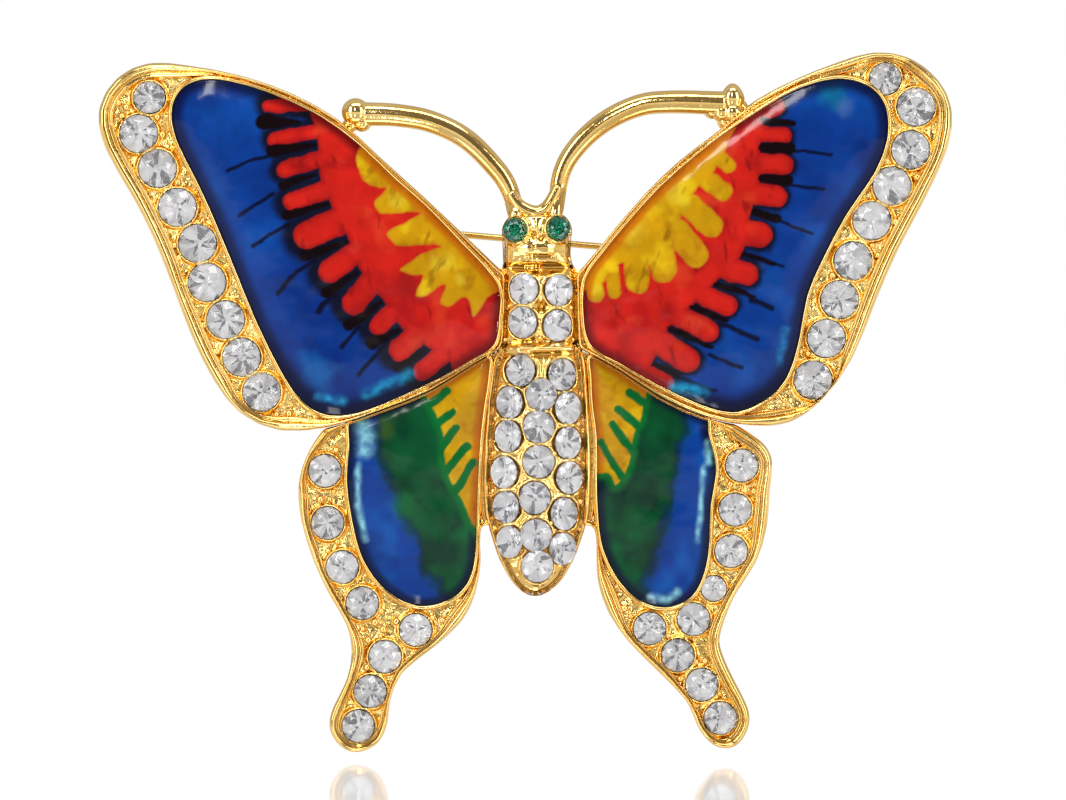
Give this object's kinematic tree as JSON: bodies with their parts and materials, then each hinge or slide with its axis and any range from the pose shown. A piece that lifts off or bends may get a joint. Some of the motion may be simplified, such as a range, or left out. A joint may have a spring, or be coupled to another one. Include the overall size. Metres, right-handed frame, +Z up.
{
  "type": "butterfly brooch",
  "caption": "Gold-plated butterfly brooch with enamelled wings, crystal-set borders and body, curled antennae, and a hinged pin with a rotating safety catch on the back.",
  "frame": {"origin": "middle of the bounding box across and front to back, at the height of the lowest tail tip", "axes": "+X across the wings to the viewer's right, +Z up towards the antennae, -Y out of the face towards the viewer"},
  "size_m": [0.0638, 0.0082, 0.0524],
  "materials": {
    "gold_plate": "polished yellow gold plate over a cast base metal, grained in the stone troughs",
    "clear_crystal": "foil-backed clear cut crystal",
    "green_crystal": "foil-backed emerald green cut crystal",
    "forewing_enamel": "glossy domed epoxy enamel, blue to black, red and yellow",
    "hindwing_enamel": "glossy domed epoxy enamel, yellow to green and blue"
  },
  "bodies": {
    "brooch": {"left_forewing_frame": "gold_plate", "right_forewing_frame": "gold_plate", "left_hindwing_frame": "gold_plate", "right_hindwing_frame": "gold_plate", "body_casting": "gold_plate", "left_antenna": "gold_plate", "right_antenna": "gold_plate", "hinge_bracket": "gold_plate", "hinge_rivet": "gold_plate", "catch_body": "gold_plate", "left_forewing_enamel": "forewing_enamel", "right_forewing_enamel": "forewing_enamel", "left_hindwing_enamel": "hindwing_enamel", "right_hindwing_enamel": "hindwing_enamel", "left_forewing_crystal_1": "clear_crystal", "left_forewing_crystal_2": "clear_crystal", "left_forewing_crystal_3": "clear_crystal", "left_forewing_crystal_4": "clear_crystal", "left_forewing_crystal_5": "clear_crystal", "left_forewing_crystal_6": "clear_crystal", "left_forewing_crystal_7": "clear_crystal", "left_forewing_crystal_8": "clear_crystal", "left_forewing_crystal_9": "clear_crystal", "right_forewing_crystal_1": "clear_crystal", "right_forewing_crystal_2": "clear_crystal", "right_forewing_crystal_3": "clear_crystal", "right_forewing_crystal_4": "clear_crystal", "right_forewing_crystal_5": "clear_crystal", "right_forewing_crystal_6": "clear_crystal", "right_forewing_crystal_7": "clear_crystal", "right_forewing_crystal_8": "clear_crystal", "right_forewing_crystal_9": "clear_crystal", "left_hindwing_crystal_1": "clear_crystal", "left_hindwing_crystal_2": "clear_crystal", "left_hindwing_crystal_3": "clear_crystal", "left_hindwing_crystal_4": "clear_crystal", "left_hindwing_crystal_5": "clear_crystal", "left_hindwing_crystal_6": "clear_crystal", "left_hindwing_crystal_7": "clear_crystal", "left_hindwing_crystal_8": "clear_crystal", "right_hindwing_crystal_1": "clear_crystal", "right_hindwing_crystal_2": "clear_crystal", "right_hindwing_crystal_3": "clear_crystal", "right_hindwing_crystal_4": "clear_crystal", "right_hindwing_crystal_5": "clear_crystal", "right_hindwing_crystal_6": "clear_crystal", "right_hindwing_crystal_7": "clear_crystal", "right_hindwing_crystal_8": "clear_crystal", "right_hindwing_crystal_9": "clear_crystal", "thorax_crystal_1": "clear_crystal", "thorax_crystal_2": "clear_crystal", "thorax_crystal_3": "clear_crystal", "thorax_crystal_4": "clear_crystal", "abdomen_pave": "clear_crystal", "eye_crystal_1": "green_crystal", "eye_crystal_2": "green_crystal"},
    "stem": {"pin_stem": "gold_plate"},
    "catch_rotor": {"catch_rotor": "gold_plate"}
  },
  "joints": [
    {"name": "stem_hinge", "type": "hinge", "parent": "brooch", "child": "stem", "pos_m": [-0.0147, 0.00259, 0.03973], "axis": [0.0854, 0, 0.9963], "range_deg": [0, 105]},
    {"name": "catch_turn", "type": "hinge", "parent": "brooch", "child": "catch_rotor", "pos_m": [0.01519, 0.00259, 0.03717], "axis": [0.9963, 0, -0.0854], "range_deg": [0, 150]}
  ]
}
